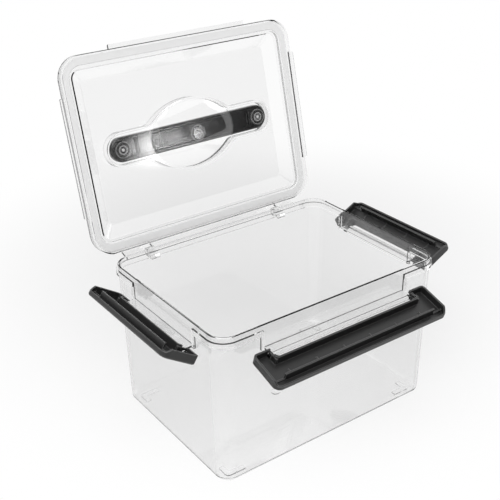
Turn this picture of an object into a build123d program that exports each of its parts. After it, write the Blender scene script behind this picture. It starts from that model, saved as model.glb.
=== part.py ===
from build123d import *
from math import atan, degrees, sqrt
import os

os.makedirs("parts", exist_ok=True)

# All lengths are millimetres and all angles degrees. +X runs to the right along the
# hinge, +Y to the back, +Z up. The origin is on the floor, under the middle of the tub.

# Tub shell
lip_width = 300.0
lip_depth = 216.0
lip_height = 185.0
wall = 2.4
wall_lean = 3.7
corner_radius = 20.0
base_edge_radius = 7.0
inner_base_bevel = 2.8
lip_bevel = 0.7

# Feet under the tub
foot_height = 1.6
foot_inset = 12.0
foot_length = 23.0
foot_depth = 17.0
foot_leg = 6.0
foot_corner = 5.0
base_gate_radius = 5.5

# Bead below the lip, and the recesses that the latches sit in
bead_reach = 2.3
bead_drop = 6.0
bead_height = 6.0
front_recess = 193.0
side_recess = 119.0
side_middle = -2.7
recess_rib = 3.2

# Latch pivot, measured from the outer edge of the lip
pivot_reach = 13.3
pivot_drop = 28.7
pin_radius = 2.5
pin_clearance = 0.1
pin_overhang = 3.1
shelf_thickness = 2.2
shelf_inset = 0.8

# Latches
latch_length = 39.3
latch_skin_reach = 4.8
latch_rim_reach = 5.6
latch_skin = 2.0
ear_width = 20.8
latch_free_corner = 8.0
latch_pivot_corner = 4.5
latch_edge_bevel = 1.2
free_rim_reach = 0.9
free_rim_start = 31.5
free_rim_slope = 4.5
notch_top = 8.5
notch_corner = 4.0
notch_wall = 2.0
notch_wall_reach = 7.0
clip_thickness = 2.4
clip_side_gap = 0.3
clip_mouth = 3.8
catch_gap = 0.3
hook_thickness = 2.0
hook_reach = 6.2
hook_overlap = 5.5
step_height = 2.4
gusset_pitch = 36.0
gusset_thickness = 1.2
gusset_height = 1.1
gusset_length = 8.0
front_open_angle = 107.5
left_open_angle = 56.5
right_open_angle = 63.5

# Lid hinge, measured from the outer edge of the lip at the back
hinge_reach = 13.0
hinge_drop = 10.3
hinge_rod_radius = 2.5
hinge_clearance = 0.1
hinge_length = 248.0
hinge_station = 92.6
hinge_station_width = 12.4
hinge_side_gap = 0.5
hinge_hook_wall = 2.0
hinge_hook_mouth = 3.8
hinge_hook_turn = 40.0
hinge_web = 2.6
lid_open_angle = 103.5

# Lid shell
lid_plate = 2.5
rim_reach = 6.5
rim_skirt = 2.2
rim_drop = 4.5
rim_bevel = 1.0
seal_inner_reach = 5.4
seal_rib = 1.5
riser_start = 2.6
platform_inset = 23.4
platform_height = 16.4
platform_corner = 6.0
riser_tuck = 1.0

# Catch tabs on the lid
tab_reach = 11.5
tab_thickness = 3.0
tab_corner = 1.5
front_tab = 185.0
side_tab = 137.0

# Seal ring in the lid
seal_gap = 0.3
seal_thickness = 3.5
seal_side_gap = 0.15
seal_bevel = 0.5

# Carry handle and the pocket it lies in, with heights measured up from the lip
handle_length = 220.0
handle_width = 29.0
handle_top = 15.2
handle_underside = 4.6
handle_top_rounding = 3.0
handle_bottom_bevel = 1.4
handle_shell = 4.2
handle_panel_depth = 1.0
handle_pocket_length = 11.0
handle_pocket_middle = 79.5
handle_pocket_depth = 6.0
pocket_gap = 3.6
pocket_wall = 2.4
pocket_floor = 3.4
pocket_blend = 12.0
scoop_half_width = 39.0
scoop_half_length = 57.5
scoop_depth = 11.8
finger_half_width = 40.4
finger_side_radius = 80.0
gate_radius = 7.4
gate_height = 0.6
gate_nub_radius = 1.3

# Handle bosses and screws
boss_station = 96.0
boss_radius = 4.0
boss_height = 5.0
boss_clearance = 0.15
boss_floor = 1.6
handle_boss_radius = 9.0
screw_radius = 1.6
screw_clearance = 0.2
screw_thread_clearance = 0.05
screw_head_radius = 3.4
screw_head_height = 2.2
screw_head_bevel = 0.7
screw_head_gap = 0.8
screw_seat_depth = 3.0
screw_recess_width = 0.9
screw_recess_length = 3.8
screw_recess_depth = 1.1

# Places worked out from the sizes above
shell_height = lip_height - foot_height
wall_angle = degrees(atan(wall_lean / shell_height))
shelf_top = pin_radius - pivot_drop
rib_height = shelf_thickness - shelf_top - bead_drop
clip_bore = pin_radius + pin_clearance
skin_inner = latch_skin_reach - latch_skin
latch_depth = latch_rim_reach + latch_skin_reach
notch_height = notch_top + notch_wall
catch_height = pivot_drop + catch_gap
roof_under = seal_gap + seal_thickness
rim_top = roof_under + lid_plate
hinge_y = lip_depth / 2 + hinge_reach
hinge_z = lip_height - hinge_drop
hook_outer = hinge_rod_radius + hinge_clearance + hinge_hook_wall
screw_seat = handle_top - screw_seat_depth


def lip_outline(reach, mode=Mode.ADD):
    """Rounded rectangle that stands off the outer edge of the lip by reach."""
    width = lip_width + 2 * reach
    depth = lip_depth + 2 * reach
    RectangleRounded(width, depth, corner_radius + reach, mode=mode)


def platform_outline(tuck):
    """Outline of the raised middle of the lid, drawn in by tuck."""
    inset = 2 * (platform_inset + tuck)
    RectangleRounded(lip_width - inset, lip_depth - inset, platform_corner)


def pocket_outline(grow):
    """Slot for the handle with a lens-shaped swelling for the fingers."""
    side_centre = finger_side_radius - finger_half_width
    tip = sqrt((finger_side_radius + grow) ** 2 - side_centre**2)
    swell = finger_half_width + grow
    around = 2 * (pocket_gap + grow)
    with BuildSketch() as outline:
        SlotOverall(handle_length + around, handle_width + around)
        with BuildLine():
            ThreePointArc((-tip, 0), (0, swell), (tip, 0))
            ThreePointArc((tip, 0), (0, -swell), (-tip, 0))
        make_face()
        inner_corners = outline.vertices().filter_by(
            lambda corner: abs(corner.X) < scoop_half_length + pocket_blend
        )
        fillet(inner_corners, pocket_blend)
    return outline.sketch


def scoop(grow):
    """Bowl that hangs below the pocket floor, thicker all round by grow."""
    cross_radius = (scoop_half_width**2 + scoop_depth**2) / (2 * scoop_depth)
    long_radius = (scoop_half_length**2 + scoop_depth**2) / (2 * scoop_depth)
    centre = pocket_floor_plane.origin + lid_seat.z_dir * (long_radius - scoop_depth)
    with BuildPart() as bowl:
        with BuildSketch(Plane(origin=centre, x_dir=lid_seat.y_dir, z_dir=-lid_seat.z_dir)):
            with Locations((0, long_radius - cross_radius)):
                Circle(cross_radius + grow)
        revolve(axis=Axis(origin=centre, direction=lid_seat.y_dir), revolution_arc=180)
        split(bisect_by=pocket_floor_plane.offset(-grow), keep=Keep.BOTTOM)
    return bowl.part


# Each latched side has its own plane: x outward from the lip, y up, z along the wall.
front_side = Plane(origin=(0, -lip_depth / 2, lip_height), x_dir=(0, -1, 0), z_dir=(-1, 0, 0))
left_side = Plane(
    origin=(-lip_width / 2, side_middle, lip_height), x_dir=(-1, 0, 0), z_dir=(0, 1, 0)
)
right_side = Plane(
    origin=(lip_width / 2, side_middle, lip_height), x_dir=(1, 0, 0), z_dir=(0, -1, 0)
)
# The back wall's plane is laid out the same way and carries the hinge.
back_side = Plane(origin=(0, lip_depth / 2, lip_height), x_dir=(0, 1, 0), z_dir=(1, 0, 0))

# The lid's plane lies on the lip when the lid is shut, and turns about the hinge rod.
lid_swing = Location((0, hinge_y, hinge_z), (-lid_open_angle, 0, 0))
lid_seat = Plane(lid_swing * Location((0, -hinge_y, hinge_drop)))
lid_up = Axis(origin=lid_seat.origin, direction=lid_seat.z_dir)
lid_back = Plane(
    origin=lid_seat.origin + lid_seat.y_dir * (lip_depth / 2),
    x_dir=lid_seat.y_dir,
    z_dir=lid_seat.x_dir,
)
pocket_floor_plane = lid_seat.offset(pocket_floor)

# Tub: a drafted, open shell with a bevelled lip
with BuildPart() as tub:
    with BuildSketch(Plane.XY.offset(foot_height)):
        lip_outline(-wall_lean)
    extrude(amount=shell_height, taper=-wall_angle)
    fillet(tub.faces().sort_by(Axis.Z)[0].edges(), base_edge_radius)
    with BuildSketch(Plane.XY.offset(foot_height + wall)):
        lip_outline(-wall_lean - wall)
    extrude(amount=shell_height - wall, taper=-wall_angle, mode=Mode.SUBTRACT)
    chamfer(tub.faces(Select.LAST).sort_by(Axis.Z)[0].edges(), inner_base_bevel)
    chamfer(tub.faces().sort_by(Axis.Z)[-1].edges(), lip_bevel)

    # Bead below the lip, left out across the three recesses
    with BuildSketch(Plane.XY.offset(lip_height - bead_drop - bead_height)):
        lip_outline(bead_reach)
        lip_outline(-wall / 2, mode=Mode.SUBTRACT)
        with Locations((0, -lip_depth / 2)):
            Rectangle(front_recess, 4 * wall, mode=Mode.SUBTRACT)
        with Locations((-lip_width / 2, side_middle), (lip_width / 2, side_middle)):
            Rectangle(4 * wall, side_recess, mode=Mode.SUBTRACT)
    extrude(amount=bead_height)

    # Shelf, pivot pins and end ribs of each recess
    for side, recess in (
        (front_side, front_recess),
        (left_side, side_recess),
        (right_side, side_recess),
    ):
        with BuildSketch(side):
            with Locations((pivot_reach, -pivot_drop)):
                Circle(pin_radius)
            with Locations((-wall / 2, shelf_top)):
                Rectangle(pivot_reach + wall / 2, shelf_thickness, align=(Align.MIN, Align.MAX))
        extrude(amount=recess / 2 - shelf_inset, both=True)
        with BuildSketch(side):
            with Locations((pivot_reach, -pivot_drop)):
                Circle(pin_radius)
        extrude(amount=recess / 2 + pin_overhang, both=True)
        for hand in (-1, 1):
            with BuildSketch(side.offset(hand * recess / 2)):
                with Locations((-wall / 2, -bead_drop)):
                    Rectangle(bead_reach + wall / 2, rib_height, align=(Align.MIN, Align.MAX))
            extrude(amount=hand * recess_rib)

    # Snap hooks that hold the lid's hinge rod
    for station in (-hinge_station, hinge_station):
        hook_width = hinge_station_width - 2 * hinge_side_gap
        with BuildSketch(back_side.offset(station - hook_width / 2)):
            with Locations((hinge_reach, -hinge_drop)):
                Circle(hook_outer)
            with Locations((-wall / 2, -hinge_drop)):
                Rectangle(hinge_reach + wall / 2, hook_outer, align=(Align.MIN, Align.MAX))
            with Locations((hinge_reach, -hinge_drop)):
                Circle(hinge_rod_radius + hinge_clearance, mode=Mode.SUBTRACT)
            with Locations(Location((hinge_reach, -hinge_drop), hinge_hook_turn)):
                Rectangle(
                    2 * hook_outer,
                    hinge_hook_mouth,
                    align=(Align.MIN, Align.CENTER),
                    mode=Mode.SUBTRACT,
                )
        extrude(amount=hook_width)

    # Four L-shaped feet, and the moulding gate in the middle of the base
    foot_x = lip_width / 2 - wall_lean - foot_inset
    foot_y = lip_depth / 2 - wall_lean - foot_inset
    with BuildSketch():
        RectangleRounded(2 * foot_x, 2 * foot_y, foot_corner)
        RectangleRounded(
            2 * (foot_x - foot_leg), 2 * (foot_y - foot_leg), foot_leg / 2, mode=Mode.SUBTRACT
        )
        Rectangle(2 * (foot_x - foot_length), 2 * foot_y, mode=Mode.SUBTRACT)
        Rectangle(2 * foot_x, 2 * (foot_y - foot_depth), mode=Mode.SUBTRACT)
        Circle(base_gate_radius)
    extrude(amount=foot_height + wall / 2)
tub.part.label = "tub"
export_step(tub.part, "parts/tub.step")

# Lid: rim with a seal channel, a raised platform and a pocket for the handle
with BuildPart() as lid:
    with BuildSketch(lid_seat.offset(-rim_drop)):
        lip_outline(rim_reach)
    extrude(amount=rim_drop + rim_top)
    chamfer(lid.faces().sort_by(lid_up)[-1].edges(), rim_bevel)
    with BuildSketch(lid_seat.offset(rim_top)):
        lip_outline(-seal_inner_reach - seal_rib - riser_start)
    with BuildSketch(lid_seat.offset(platform_height)):
        platform_outline(0)
    loft()

    # Underside, hollowed to an even plate, with the seal channel inside the skirt
    with BuildSketch(lid_seat.offset(-rim_drop)):
        lip_outline(rim_reach - rim_skirt)
    extrude(amount=rim_drop, mode=Mode.SUBTRACT)
    with BuildSketch(lid_seat):
        lip_outline(rim_reach - rim_skirt)
        lip_outline(-seal_inner_reach, mode=Mode.SUBTRACT)
        lip_outline(-seal_inner_reach - seal_rib)
    extrude(amount=roof_under, mode=Mode.SUBTRACT)
    with BuildSketch(lid_seat.offset(roof_under)):
        lip_outline(-seal_inner_reach - seal_rib - riser_start - riser_tuck)
    with BuildSketch(lid_seat.offset(platform_height - lid_plate)):
        platform_outline(riser_tuck)
    loft(mode=Mode.SUBTRACT)

    # Pocket for the handle, with a scoop for the fingers and the moulding gate below it
    with BuildSketch(pocket_floor_plane.offset(-pocket_wall)):
        add(pocket_outline(pocket_wall))
    extrude(amount=platform_height - lid_plate / 2 - pocket_floor + pocket_wall)
    gate_level = pocket_floor - scoop_depth - pocket_wall
    with BuildSketch(lid_seat.offset(gate_level - gate_height)):
        Circle(gate_radius)
    extrude(amount=gate_height + pocket_wall / 2)
    with BuildSketch(lid_seat.offset(gate_level - 2 * gate_height)):
        Circle(gate_nub_radius)
    extrude(amount=gate_height + pocket_wall / 2)
    add(scoop(pocket_wall))
    with BuildSketch(pocket_floor_plane):
        add(pocket_outline(0))
    extrude(amount=platform_height, mode=Mode.SUBTRACT)
    add(scoop(0), mode=Mode.SUBTRACT)

    # Blind bosses for the handle screws
    with BuildSketch(pocket_floor_plane):
        with Locations((-boss_station, 0), (boss_station, 0)):
            Circle(boss_radius)
    extrude(amount=boss_height)
    with BuildSketch(pocket_floor_plane.offset(boss_floor - pocket_wall)):
        with Locations((-boss_station, 0), (boss_station, 0)):
            Circle(screw_radius + screw_thread_clearance)
    extrude(amount=boss_height + pocket_wall, mode=Mode.SUBTRACT)

    # Catch tabs that the latch hooks close over
    tab_root = rim_reach - rim_skirt
    tab_middle = (tab_reach + tab_root) / 2
    with BuildSketch(lid_seat.offset(-tab_thickness)) as tabs:
        with Locations((0, -lip_depth / 2 - tab_middle)):
            Rectangle(front_tab, tab_reach - tab_root)
        with Locations(
            (-lip_width / 2 - tab_middle, side_middle),
            (lip_width / 2 + tab_middle, side_middle),
        ):
            Rectangle(tab_reach - tab_root, side_tab)
        fillet(tabs.vertices(), tab_corner)
    extrude(amount=tab_thickness)

    # Hinge leaf in three spans, and the rod along its edge
    inner_end = hinge_station - hinge_station_width / 2
    outer_end = hinge_station + hinge_station_width / 2
    for start, end in (
        (-hinge_length / 2, -outer_end),
        (-inner_end, inner_end),
        (outer_end, hinge_length / 2),
    ):
        with BuildSketch(lid_back.offset(start)):
            with BuildLine():
                Line((rim_reach - rim_skirt / 2, rim_top - roof_under), (hinge_reach, -hinge_drop))
            trace(line_width=hinge_web)
        extrude(amount=end - start)
    with BuildSketch(lid_back.offset(-hinge_length / 2)):
        with Locations((hinge_reach, -hinge_drop)):
            Circle(hinge_rod_radius)
    extrude(amount=hinge_length)
lid.part.label = "lid"
export_step(lid.part, "parts/lid.step")

# Seal ring, pressed up into the lid's channel
with BuildPart() as lid_seal:
    with BuildSketch(lid_seat.offset(seal_gap)):
        lip_outline(rim_reach - rim_skirt - seal_side_gap)
        lip_outline(seal_side_gap - seal_inner_reach, mode=Mode.SUBTRACT)
    extrude(amount=seal_thickness)
    chamfer(lid_seal.faces().sort_by(lid_up)[0].edges(), seal_bevel)
lid_seal.part.label = "lid_seal"
export_step(lid_seal.part, "parts/lid_seal.step")

# Carry handle: a rounded bar with shallow hollows on its underside
with BuildPart() as carry_handle:
    with BuildSketch(lid_seat.offset(handle_underside)):
        SlotOverall(handle_length, handle_width)
    extrude(amount=handle_top - handle_underside)
    fillet(carry_handle.faces().sort_by(lid_up)[-1].edges(), handle_top_rounding)
    chamfer(carry_handle.faces().sort_by(lid_up)[0].edges(), handle_bottom_bevel)
    with BuildSketch(lid_seat.offset(handle_underside)):
        SlotOverall(handle_length - 2 * handle_shell, handle_width - 2 * handle_shell)
    extrude(amount=handle_panel_depth, mode=Mode.SUBTRACT)
    with BuildSketch(lid_seat.offset(handle_underside)):
        with Locations((-handle_pocket_middle, 0), (handle_pocket_middle, 0)):
            Rectangle(handle_pocket_length, handle_width - 2 * handle_shell)
    extrude(amount=handle_pocket_depth, mode=Mode.SUBTRACT)
    with BuildSketch(pocket_floor_plane):
        with Locations((-boss_station, 0), (boss_station, 0)):
            Circle(handle_boss_radius)
    extrude(amount=handle_underside - pocket_floor + handle_panel_depth)
    with BuildSketch(pocket_floor_plane):
        with Locations((-boss_station, 0), (boss_station, 0)):
            Circle(boss_radius + boss_clearance)
    extrude(amount=boss_height + boss_clearance, mode=Mode.SUBTRACT)
    with BuildSketch(pocket_floor_plane):
        with Locations((-boss_station, 0), (boss_station, 0)):
            Circle(screw_radius + screw_clearance)
    extrude(amount=handle_top - pocket_floor, mode=Mode.SUBTRACT)
    with BuildSketch(lid_seat.offset(screw_seat)):
        with Locations((-boss_station, 0), (boss_station, 0)):
            Circle(screw_head_radius + screw_head_gap)
    extrude(amount=screw_seat_depth, mode=Mode.SUBTRACT)
carry_handle.part.label = "carry_handle"
export_step(carry_handle.part, "parts/carry_handle.step")

# Two pan-head screws that hold the handle down on the lid's bosses
with BuildPart() as handle_screws:
    with BuildSketch(lid_seat.offset(screw_seat)):
        with Locations((-boss_station, 0), (boss_station, 0)):
            Circle(screw_head_radius)
    extrude(amount=screw_head_height)
    head_tops = handle_screws.faces().sort_by(lid_up)[-2:]
    chamfer(head_tops.edges(), screw_head_bevel)
    with BuildSketch(pocket_floor_plane):
        with Locations((-boss_station, 0), (boss_station, 0)):
            Circle(screw_radius)
    extrude(amount=screw_seat - pocket_floor)
    with BuildSketch(lid_seat.offset(screw_seat + screw_head_height - screw_recess_depth)):
        with Locations((-boss_station, 0), (boss_station, 0)):
            Rectangle(screw_recess_length, screw_recess_width)
            Rectangle(screw_recess_width, screw_recess_length)
    extrude(amount=screw_recess_depth, mode=Mode.SUBTRACT)
handle_screws.part.label = "handle_screws"
export_step(handle_screws.part, "parts/handle_screws.step")

# Three latches, each a shallow tray that swings on the pins of its recess
for name, side, recess, open_angle in (
    ("front_latch", front_side, front_recess, front_open_angle),
    ("left_latch", left_side, side_recess, left_open_angle),
    ("right_latch", right_side, side_recess, right_open_angle),
):
    # Section plane: x outward through the skin, y from the pivot to the free edge
    section = Plane(side.location * Location((pivot_reach, -pivot_drop, 0), (0, 0, -open_angle)))
    outward = Axis(origin=section.origin, direction=section.x_dir)
    # Face plane: seen from outside, with the same y
    face_plane = Plane(origin=section.origin, x_dir=-section.z_dir, z_dir=section.x_dir)
    rim_plane = face_plane.offset(-latch_rim_reach)
    latch_width = recess + 2 * ear_width
    tray_height = latch_length + latch_skin_reach
    tray_middle = (latch_length - latch_skin_reach) / 2
    clip_start = recess / 2 - clip_side_gap

    with BuildPart() as latch:
        with BuildSketch(rim_plane) as outline:
            with Locations((0, tray_middle)):
                Rectangle(latch_width, tray_height)
            fillet(outline.vertices().group_by(Axis.Y)[-1], latch_free_corner)
            fillet(outline.vertices().group_by(Axis.Y)[0], latch_pivot_corner)
        extrude(amount=latch_depth)
        chamfer(latch.faces().sort_by(outward)[-1].edges(), latch_edge_bevel)

        # Tray hollow, leaving the skin and a wall all round
        with BuildSketch(rim_plane) as hollow:
            with Locations((0, tray_middle)):
                Rectangle(latch_width - 2 * latch_skin, tray_height - 2 * latch_skin)
            fillet(hollow.vertices().group_by(Axis.Y)[-1], latch_free_corner - latch_skin)
            fillet(hollow.vertices().group_by(Axis.Y)[0], latch_pivot_corner - latch_skin)
        extrude(amount=latch_depth - latch_skin, mode=Mode.SUBTRACT)

        # Rim dipped along the free edge, so that a finger reaches the hook
        with BuildSketch(section):
            with BuildLine():
                Polyline(
                    (-latch_rim_reach, free_rim_start),
                    (-free_rim_reach, free_rim_start + free_rim_slope),
                    (-free_rim_reach, latch_length),
                    (-latch_rim_reach, latch_length),
                    close=True,
                )
            make_face()
        extrude(amount=latch_width / 2, both=True, mode=Mode.SUBTRACT)

        # Notch between the ears, clear of the shelf and edged with a standing wall
        notch_plane = face_plane.offset(-notch_wall_reach)
        with BuildSketch(notch_plane) as edging:
            with Locations((0, notch_height)):
                Rectangle(
                    2 * (clip_start + notch_wall),
                    notch_height - latch_skin_reach,
                    align=(Align.CENTER, Align.MAX),
                )
            fillet(edging.vertices().group_by(Axis.Y)[-1], notch_corner)
        extrude(amount=notch_wall_reach + latch_skin_reach - latch_skin / 2)
        with BuildSketch(notch_plane) as notch:
            with Locations((0, notch_top)):
                Rectangle(2 * clip_start, tray_height, align=(Align.CENTER, Align.MAX))
            fillet(notch.vertices().group_by(Axis.Y)[-1], notch_corner)
        extrude(amount=notch_wall_reach + latch_skin_reach, mode=Mode.SUBTRACT)

        # Snap clips that grip the pins
        for hand in (-1, 1):
            with BuildSketch(section.offset(hand * clip_start)):
                Circle(latch_skin_reach)
                Rectangle(2 * latch_skin_reach, notch_height, align=(Align.CENTER, Align.MIN))
            extrude(amount=hand * clip_thickness)
            with BuildSketch(section.offset(hand * clip_start)):
                Circle(clip_bore)
                Rectangle(clip_mouth, tray_height, align=(Align.CENTER, Align.MAX))
            extrude(amount=hand * clip_thickness, mode=Mode.SUBTRACT)

        # Hook rib, with a low step at each end
        hook_half = recess / 2 + hook_overlap
        with BuildSketch(section):
            with Locations((skin_inner, catch_height)):
                Rectangle(skin_inner + hook_reach, hook_thickness, align=(Align.MAX, Align.MIN))
        extrude(amount=hook_half, both=True)
        with BuildSketch(section):
            with Locations((skin_inner, catch_height)):
                Rectangle(step_height, hook_thickness, align=(Align.MAX, Align.MIN))
        extrude(amount=latch_width / 2 - latch_skin / 2, both=True)

        # Small gussets under the hook
        gusset_count = int(recess / gusset_pitch) + 1
        gusset_span = (gusset_count - 1) * gusset_pitch
        for index in range(gusset_count):
            station = index * gusset_pitch - gusset_span / 2
            with BuildSketch(section.offset(station - gusset_thickness / 2)):
                with Locations((skin_inner, catch_height)):
                    Rectangle(gusset_height, gusset_length, align=(Align.MAX, Align.MAX))
            extrude(amount=gusset_thickness)
    latch.part.label = name
    export_step(latch.part, f"parts/{name}.step")
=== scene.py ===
import math

import bmesh
import bpy
from mathutils import Matrix, Quaternion, Vector

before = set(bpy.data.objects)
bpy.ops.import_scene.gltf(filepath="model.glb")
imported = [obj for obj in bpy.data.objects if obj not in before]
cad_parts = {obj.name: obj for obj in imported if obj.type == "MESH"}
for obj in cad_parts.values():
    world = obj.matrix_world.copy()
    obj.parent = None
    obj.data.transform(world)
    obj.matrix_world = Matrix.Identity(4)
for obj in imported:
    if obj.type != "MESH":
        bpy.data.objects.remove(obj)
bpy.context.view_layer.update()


# Surroundings: plain white to the camera, in reflections and through the clear
# walls, and a weaker white that lights the box softly from all sides.
def grey(tone):
    return (tone, tone, tone, 1.0)


def toned(tree, kind, tone):
    node = tree.nodes.new(kind)
    node.inputs["Color"].default_value = grey(tone)
    return node


def maths(tree, operation, *values):
    node = tree.nodes.new("ShaderNodeMath")
    node.operation = operation
    for socket, value in zip(node.inputs, values):
        if isinstance(value, float):
            socket.default_value = value
        else:
            tree.links.new(value, socket)
    return node.outputs["Value"]


def mixed(tree, share, first, second):
    node = tree.nodes.new("ShaderNodeMixShader")
    for socket, source in zip(node.inputs, (share, first, second)):
        tree.links.new(source, socket)
    return node.outputs["Shader"]


def seen_ray(tree):
    path = tree.nodes.new("ShaderNodeLightPath")
    direct = maths(
        tree, "MAXIMUM", path.outputs["Is Camera Ray"], path.outputs["Is Glossy Ray"]
    )
    return maths(tree, "MAXIMUM", direct, path.outputs["Is Transmission Ray"])


white = 1.0
fill_strength = 0.6
backdrop_strength = 1.0
world = bpy.data.worlds.new("studio_surroundings")
bpy.context.scene.world = world
world.use_nodes = True
tree = world.node_tree
tree.nodes.clear()
soft_fill = toned(tree, "ShaderNodeBackground", white)
soft_fill.inputs["Strength"].default_value = fill_strength
white_backdrop = toned(tree, "ShaderNodeBackground", white)
white_backdrop.inputs["Strength"].default_value = backdrop_strength
surroundings = mixed(
    tree,
    seen_ray(tree),
    soft_fill.outputs["Background"],
    white_backdrop.outputs["Background"],
)
world_output = tree.nodes.new("ShaderNodeOutputWorld")
tree.links.new(surroundings, world_output.inputs["Surface"])


# Floor: a pale painted sheet that keeps the box's soft shadow and turns plain
# white further out. It is clear from below, so the box's underside can be seen.
def studio_sheet(name, half_width, placement):
    shape = bmesh.new()
    bmesh.ops.create_grid(
        shape, x_segments=1, y_segments=1, size=half_width, matrix=placement
    )
    data = bpy.data.meshes.new(name)
    shape.to_mesh(data)
    shape.free()
    sheet = bpy.data.objects.new(name, data)
    bpy.context.scene.collection.objects.link(sheet)
    return sheet


def vector_maths(tree, operation, vector, constant, result):
    node = tree.nodes.new("ShaderNodeVectorMath")
    node.operation = operation
    node.inputs[1].default_value = constant
    tree.links.new(vector, node.inputs[0])
    return node.outputs[result]


def remapped(tree, value, old=(0.0, 1.0), new=(0.0, 1.0), curve="LINEAR"):
    node = tree.nodes.new("ShaderNodeMapRange")
    node.interpolation_type = curve
    for name, end in zip(("From Min", "From Max", "To Min", "To Max"), (*old, *new)):
        node.inputs[name].default_value = end
    tree.links.new(value, node.inputs["Value"])
    return node.outputs["Result"]


floor_half_width = 6.0
floor_tone = 0.86
floor_glow = 0.05
shade_middle = (0.21, 0.29, 0.0)
white_from = 0.13
all_white_at = 0.58
studio_floor = studio_sheet("studio_floor", floor_half_width, Matrix.Identity(4))
floor_paint = bpy.data.materials.new("pale_floor_paint")
floor_paint.use_nodes = True
tree = floor_paint.node_tree
tree.nodes.clear()
seen = seen_ray(tree)
chalk = toned(tree, "ShaderNodeBsdfDiffuse", floor_tone)
glow = toned(tree, "ShaderNodeEmission", white)
tree.links.new(maths(tree, "MULTIPLY", seen, floor_glow), glow.inputs["Strength"])
near = tree.nodes.new("ShaderNodeAddShader")
tree.links.new(chalk.outputs["BSDF"], near.inputs[0])
tree.links.new(glow.outputs["Emission"], near.inputs[1])
far = toned(tree, "ShaderNodeEmission", white)
floor_place = tree.nodes.new("ShaderNodeTexCoord")
away = vector_maths(
    tree, "DISTANCE", floor_place.outputs["Object"], shade_middle, "Value"
)
white_share = remapped(tree, away, old=(white_from, all_white_at), curve="SMOOTHSTEP")
upper_side = mixed(
    tree,
    maths(tree, "MULTIPLY", white_share, seen),
    near.outputs["Shader"],
    far.outputs["Emission"],
)
side = tree.nodes.new("ShaderNodeNewGeometry")
under_side = toned(tree, "ShaderNodeBsdfTransparent", white)
floor_surface = mixed(
    tree, side.outputs["Backfacing"], upper_side, under_side.outputs["BSDF"]
)
floor_output = tree.nodes.new("ShaderNodeOutputMaterial")
tree.links.new(floor_surface, floor_output.inputs["Surface"])
studio_floor.data.materials.append(floor_paint)


# Lamps: a large soft one above, a weaker one at the right, and a small one in
# front that fades towards its edges and shows as a glint on the handle.
def soft_lamp(name, place, aim, width, power):
    data = bpy.data.lights.new(name, "AREA")
    data.shape = "DISK"
    data.size = width
    data.energy = power
    lamp = bpy.data.objects.new(name, data)
    bpy.context.scene.collection.objects.link(lamp)
    lamp.location = place
    lamp.rotation_mode = "QUATERNION"
    lamp.rotation_quaternion = (Vector(place) - Vector(aim)).to_track_quat("Z", "Y")
    return data


soft_lamp(
    "overhead_lamp",
    place=(-0.7, -0.6, 2.4),
    aim=(0.0, 0.0, 0.1),
    width=2.4,
    power=30.0,
)
soft_lamp(
    "right_lamp",
    place=(2.0, -0.2, 1.4),
    aim=(0.0, 0.0, 0.15),
    width=1.2,
    power=6.0,
)
small_lamp = soft_lamp(
    "front_lamp",
    place=(0.71, -1.24, 0.385),
    aim=(-0.058, 0.165, 0.285),
    width=0.29,
    power=1.9,
)
small_lamp.shape = "RECTANGLE"
small_lamp.size_y = 0.16
small_lamp.use_nodes = True
tree = small_lamp.node_tree
lamp_middle = (0.5, 0.5, 0.0)
lamp_edge_reach = 0.5
across = tree.nodes.new("ShaderNodeNewGeometry")
from_middle = vector_maths(
    tree, "DISTANCE", across.outputs["Parametric"], lamp_middle, "Value"
)
fade = remapped(tree, from_middle, old=(lamp_edge_reach, 0.0), curve="SMOOTHSTEP")
tree.links.new(fade, tree.nodes["Emission"].inputs["Strength"])

# Dark card behind the small lamp, which the camera sees only in reflections
# and through the clear plastic's bends. It keeps the black pieces black and
# gives the clear walls their grey edges.
card_half_width = 1.7
card_place = (1.0, -1.75, 1.0)
card_facing = Vector((-0.46, 0.88, 0.0))
card_placement = card_facing.to_track_quat("Z", "Y").to_matrix().to_4x4()
card_placement.translation = card_place
dark_card = studio_sheet("dark_card", card_half_width, card_placement)
dark_card.visible_camera = False
dark_card.visible_diffuse = False
dark_card.visible_shadow = False
card_felt = bpy.data.materials.new("dark_card_felt")
card_felt.use_nodes = True
felt = card_felt.node_tree.nodes["Principled BSDF"]
felt.inputs["Base Color"].default_value = grey(0.03)
felt.inputs["Roughness"].default_value = 1.0
dark_card.data.materials.append(card_felt)

# Camera: the photograph's own place, turn and angle of view, found by fitting
# the lip, base and lid outlines to the picture.
camera_data = bpy.data.cameras.new("photo_camera")
camera_data.sensor_width = 36.0
camera_data.lens = 66.10
camera = bpy.data.objects.new("photo_camera", camera_data)
bpy.context.scene.collection.objects.link(camera)
camera.location = (-0.55749, -0.73491, 0.66333)
camera.rotation_mode = "QUATERNION"
azimuth = math.radians(-35.48)
elevation = math.radians(26.89)
roll = math.radians(-0.98)
backward = Vector(
    (
        math.sin(azimuth) * math.cos(elevation),
        -math.cos(azimuth) * math.cos(elevation),
        math.sin(elevation),
    )
)
upright = backward.to_track_quat("Z", "Y")
camera.rotation_quaternion = upright @ Quaternion((0, 0, 1), roll)
bpy.context.scene.camera = camera
bpy.context.scene.view_settings.view_transform = "Standard"


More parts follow.
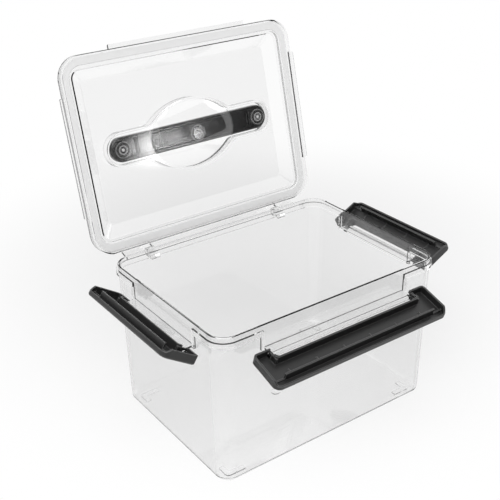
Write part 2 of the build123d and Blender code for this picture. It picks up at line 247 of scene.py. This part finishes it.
# Tub: one clear moulding with the lip, bead, latch shelves, hinge hooks and feet.
# The wall is hard clear plastic, faintly uneven as moulded sheet is, and lamps
# shine through it.
def clear_plastic(name, face_tone, edge_tone):
    edge_narrowness = 3.0
    light_let_through = 0.965
    material = bpy.data.materials.new(name)
    material.use_nodes = True
    tree = material.node_tree
    principled = tree.nodes["Principled BSDF"]
    principled.inputs["Roughness"].default_value = 0.03
    principled.inputs["IOR"].default_value = 1.49
    principled.inputs["Transmission Weight"].default_value = 1.0
    slant = tree.nodes.new("ShaderNodeLayerWeight")
    slant.inputs["Blend"].default_value = 0.5
    grazing = maths(tree, "POWER", slant.outputs["Facing"], edge_narrowness)
    tint = tree.nodes.new("ShaderNodeMix")
    tint.data_type = "RGBA"
    tint.inputs["A"].default_value = grey(face_tone)
    tint.inputs["B"].default_value = grey(edge_tone)
    tree.links.new(grazing, tint.inputs["Factor"])
    tree.links.new(tint.outputs["Result"], principled.inputs["Base Color"])
    place = tree.nodes.new("ShaderNodeTexCoord")
    ripple = tree.nodes.new("ShaderNodeTexNoise")
    ripple.inputs["Scale"].default_value = 14.0
    ripple.inputs["Detail"].default_value = 1.0
    bump = tree.nodes.new("ShaderNodeBump")
    bump.inputs["Strength"].default_value = 0.04
    bump.inputs["Distance"].default_value = 0.002
    tree.links.new(place.outputs["Object"], ripple.inputs["Vector"])
    tree.links.new(ripple.outputs["Fac"], bump.inputs["Height"])
    tree.links.new(bump.outputs["Normal"], principled.inputs["Normal"])
    path = tree.nodes.new("ShaderNodeLightPath")
    lamp_light = maths(
        tree, "MAXIMUM", path.outputs["Is Shadow Ray"], path.outputs["Is Diffuse Ray"]
    )
    pane = toned(tree, "ShaderNodeBsdfTransparent", light_let_through)
    surface = mixed(tree, lamp_light, principled.outputs["BSDF"], pane.outputs["BSDF"])
    tree.links.new(surface, tree.nodes["Material Output"].inputs["Surface"])
    return material


def dress(node, material):
    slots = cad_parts[node].data.materials
    slots.clear()
    slots.append(material)


dress("tub", clear_plastic("clear_tub_plastic", face_tone=0.95, edge_tone=0.30))

# Lid: the same clear plastic with the rim, platform, handle pocket and hinge rod.
# Fine whitish rings are painted in around the moulding gate and the two screw
# bosses as highlights, with a bright painted glint at their middles.
clear_lid = clear_plastic("clear_lid_plastic", face_tone=0.965, edge_tone=0.35)
gate_y, gate_z = 0.1511, 0.2919
boss_station = 0.096
lid_outward = (0.0, 0.9724, -0.2334)
ring_span = 0.012
painted_highlight_tone = 0.85
painted_glint_at_middle = 0.55
# Painted highlight: the ring pattern of whitish diffuse mixed into the clear plastic,
# brightest at the middle, standing in for glints on the gate disc and boss edges.
painted_highlight_by_share_of_span = {
    0.12: 0.45,
    0.18: 0.02,
    0.33: 0.03,
    0.38: 0.34,
    0.43: 0.30,
    0.49: 0.02,
    0.72: 0.01,
    0.76: 0.26,
    0.82: 0.0,
}
tree = clear_lid.node_tree
place = tree.nodes.new("ShaderNodeTexCoord")
spreads = []
for station in (-boss_station, 0.0, boss_station):
    middle = (station, gate_y, gate_z)
    arm = vector_maths(tree, "SUBTRACT", place.outputs["Object"], middle, "Vector")
    sideways = vector_maths(tree, "CROSS_PRODUCT", arm, lid_outward, "Vector")
    length = tree.nodes.new("ShaderNodeVectorMath")
    length.operation = "LENGTH"
    tree.links.new(sideways, length.inputs[0])
    spreads.append(length.outputs["Value"])
nearest = maths(tree, "MINIMUM", maths(tree, "MINIMUM", *spreads[:2]), spreads[2])
highlight_rings = tree.nodes.new("ShaderNodeValToRGB")
stops = highlight_rings.color_ramp.elements
stops[0].position, stops[0].color = 0.0, grey(painted_glint_at_middle)
stops[1].position, stops[1].color = 1.0, grey(0.0)
for share_of_span, highlight in painted_highlight_by_share_of_span.items():
    stops.new(share_of_span).color = grey(highlight)
tree.links.new(remapped(tree, nearest, old=(0.0, ring_span)), highlight_rings.inputs["Fac"])
# The painted highlight itself: a white diffuse mixed in along the rings.
painted_highlight_diffuse = toned(tree, "ShaderNodeBsdfDiffuse", painted_highlight_tone)
lid_surface = tree.nodes["Material Output"].inputs["Surface"]
clear_surface = lid_surface.links[0].from_socket
highlight_ringed_surface = mixed(tree, highlight_rings.outputs["Color"], clear_surface, painted_highlight_diffuse.outputs["BSDF"])
tree.links.new(highlight_ringed_surface, lid_surface)
dress("lid", clear_lid)

# Seal ring: soft whitish rubber that lies in the lid's channel, mottled very
# faintly and duller than the plastic around it.
seal_rubber = bpy.data.materials.new("pale_seal_rubber")
seal_rubber.use_nodes = True
tree = seal_rubber.node_tree
principled = tree.nodes["Principled BSDF"]
principled.inputs["Roughness"].default_value = 0.55
place = tree.nodes.new("ShaderNodeTexCoord")
mottle = tree.nodes.new("ShaderNodeTexNoise")
mottle.inputs["Scale"].default_value = 60.0
tone = tree.nodes.new("ShaderNodeValToRGB")
tone.color_ramp.elements[0].color = grey(0.84)
tone.color_ramp.elements[1].color = grey(0.89)
tree.links.new(place.outputs["Object"], mottle.inputs["Vector"])
tree.links.new(mottle.outputs["Fac"], tone.inputs["Fac"])
tree.links.new(tone.outputs["Color"], principled.inputs["Base Color"])
dress("lid_seal", seal_rubber)


# Carry handle: smooth black moulding, screwed into the lid's pocket from above.
# Its outer edges are painted a little lighter as a highlight; inner corners are not.
def black_moulding(name, roughness, grain_depth):
    # edge_tone here is the colour of the painted edge highlight.
    edge_tone = 0.14
    edge_radius = 0.0014
    edge_samples = 6
    flat_to_edge = (0.995, 0.86)
    inner_to_outer = (0.35, 0.7)
    material = bpy.data.materials.new(name)
    material.use_nodes = True
    tree = material.node_tree
    principled = tree.nodes["Principled BSDF"]
    place = tree.nodes.new("ShaderNodeTexCoord")
    grain = tree.nodes.new("ShaderNodeTexNoise")
    grain.inputs["Scale"].default_value = 900.0
    grain.inputs["Detail"].default_value = 2.0
    shade = tree.nodes.new("ShaderNodeValToRGB")
    shade.color_ramp.elements[0].color = grey(0.012)
    shade.color_ramp.elements[1].color = grey(0.021)
    tree.links.new(place.outputs["Object"], grain.inputs["Vector"])
    tree.links.new(grain.outputs["Fac"], shade.inputs["Fac"])
    rounded = tree.nodes.new("ShaderNodeBevel")
    rounded.samples = edge_samples
    rounded.inputs["Radius"].default_value = edge_radius
    face = tree.nodes.new("ShaderNodeNewGeometry")
    agree = tree.nodes.new("ShaderNodeVectorMath")
    agree.operation = "DOT_PRODUCT"
    tree.links.new(rounded.outputs["Normal"], agree.inputs[0])
    tree.links.new(face.outputs["Normal"], agree.inputs[1])
    open_air = tree.nodes.new("ShaderNodeAmbientOcclusion")
    open_air.samples = edge_samples
    open_air.inputs["Distance"].default_value = 0.005
    # Painted highlight: a lighter base colour along outer edges, standing in for the
    # lamps' glint there; the occlusion keeps it out of inner corners.
    edge = remapped(tree, agree.outputs["Value"], old=flat_to_edge)
    outer = remapped(tree, open_air.outputs["AO"], old=inner_to_outer)
    painted_edge_highlight = tree.nodes.new("ShaderNodeMix")
    painted_edge_highlight.data_type = "RGBA"
    painted_edge_highlight.inputs["B"].default_value = grey(edge_tone)
    tree.links.new(maths(tree, "MULTIPLY", edge, outer), painted_edge_highlight.inputs["Factor"])
    tree.links.new(shade.outputs["Color"], painted_edge_highlight.inputs["A"])
    tree.links.new(painted_edge_highlight.outputs["Result"], principled.inputs["Base Color"])
    gloss = remapped(
        tree, grain.outputs["Fac"], new=(roughness * 0.8, roughness * 1.2)
    )
    tree.links.new(gloss, principled.inputs["Roughness"])
    bump = tree.nodes.new("ShaderNodeBump")
    bump.inputs["Strength"].default_value = grain_depth
    bump.inputs["Distance"].default_value = 0.0002
    tree.links.new(rounded.outputs["Normal"], bump.inputs["Normal"])
    tree.links.new(grain.outputs["Fac"], bump.inputs["Height"])
    tree.links.new(bump.outputs["Normal"], principled.inputs["Normal"])
    return material


handle_plastic = black_moulding(
    "black_handle_plastic", roughness=0.14, grain_depth=0.015
)
handle_shader = handle_plastic.node_tree.nodes["Principled BSDF"]
handle_shader.inputs["Specular IOR Level"].default_value = 1.0
dress("carry_handle", handle_plastic)

# Handle screws: two plain steel pan heads sunk in the handle, with the dull,
# slightly uneven shine of bare fasteners.
screw_steel = bpy.data.materials.new("plain_screw_steel")
screw_steel.use_nodes = True
tree = screw_steel.node_tree
principled = tree.nodes["Principled BSDF"]
principled.inputs["Base Color"].default_value = (0.45, 0.45, 0.46, 1.0)
principled.inputs["Metallic"].default_value = 1.0
place = tree.nodes.new("ShaderNodeTexCoord")
wear = tree.nodes.new("ShaderNodeTexNoise")
wear.inputs["Scale"].default_value = 400.0
tree.links.new(place.outputs["Object"], wear.inputs["Vector"])
dulled = remapped(tree, wear.outputs["Fac"], new=(0.25, 0.5))
tree.links.new(dulled, principled.inputs["Roughness"])
dress("handle_screws", screw_steel)

# Latches: three black trays clipped on the tub's pins, satin inside and out,
# all of one plastic with a deeper grain than the handle's, and the same painted
# highlight along their outer edges.
latch_plastic = black_moulding("black_latch_plastic", roughness=0.42, grain_depth=0.18)
for node in ("front_latch", "left_latch", "right_latch"):
    dress(node, latch_plastic)
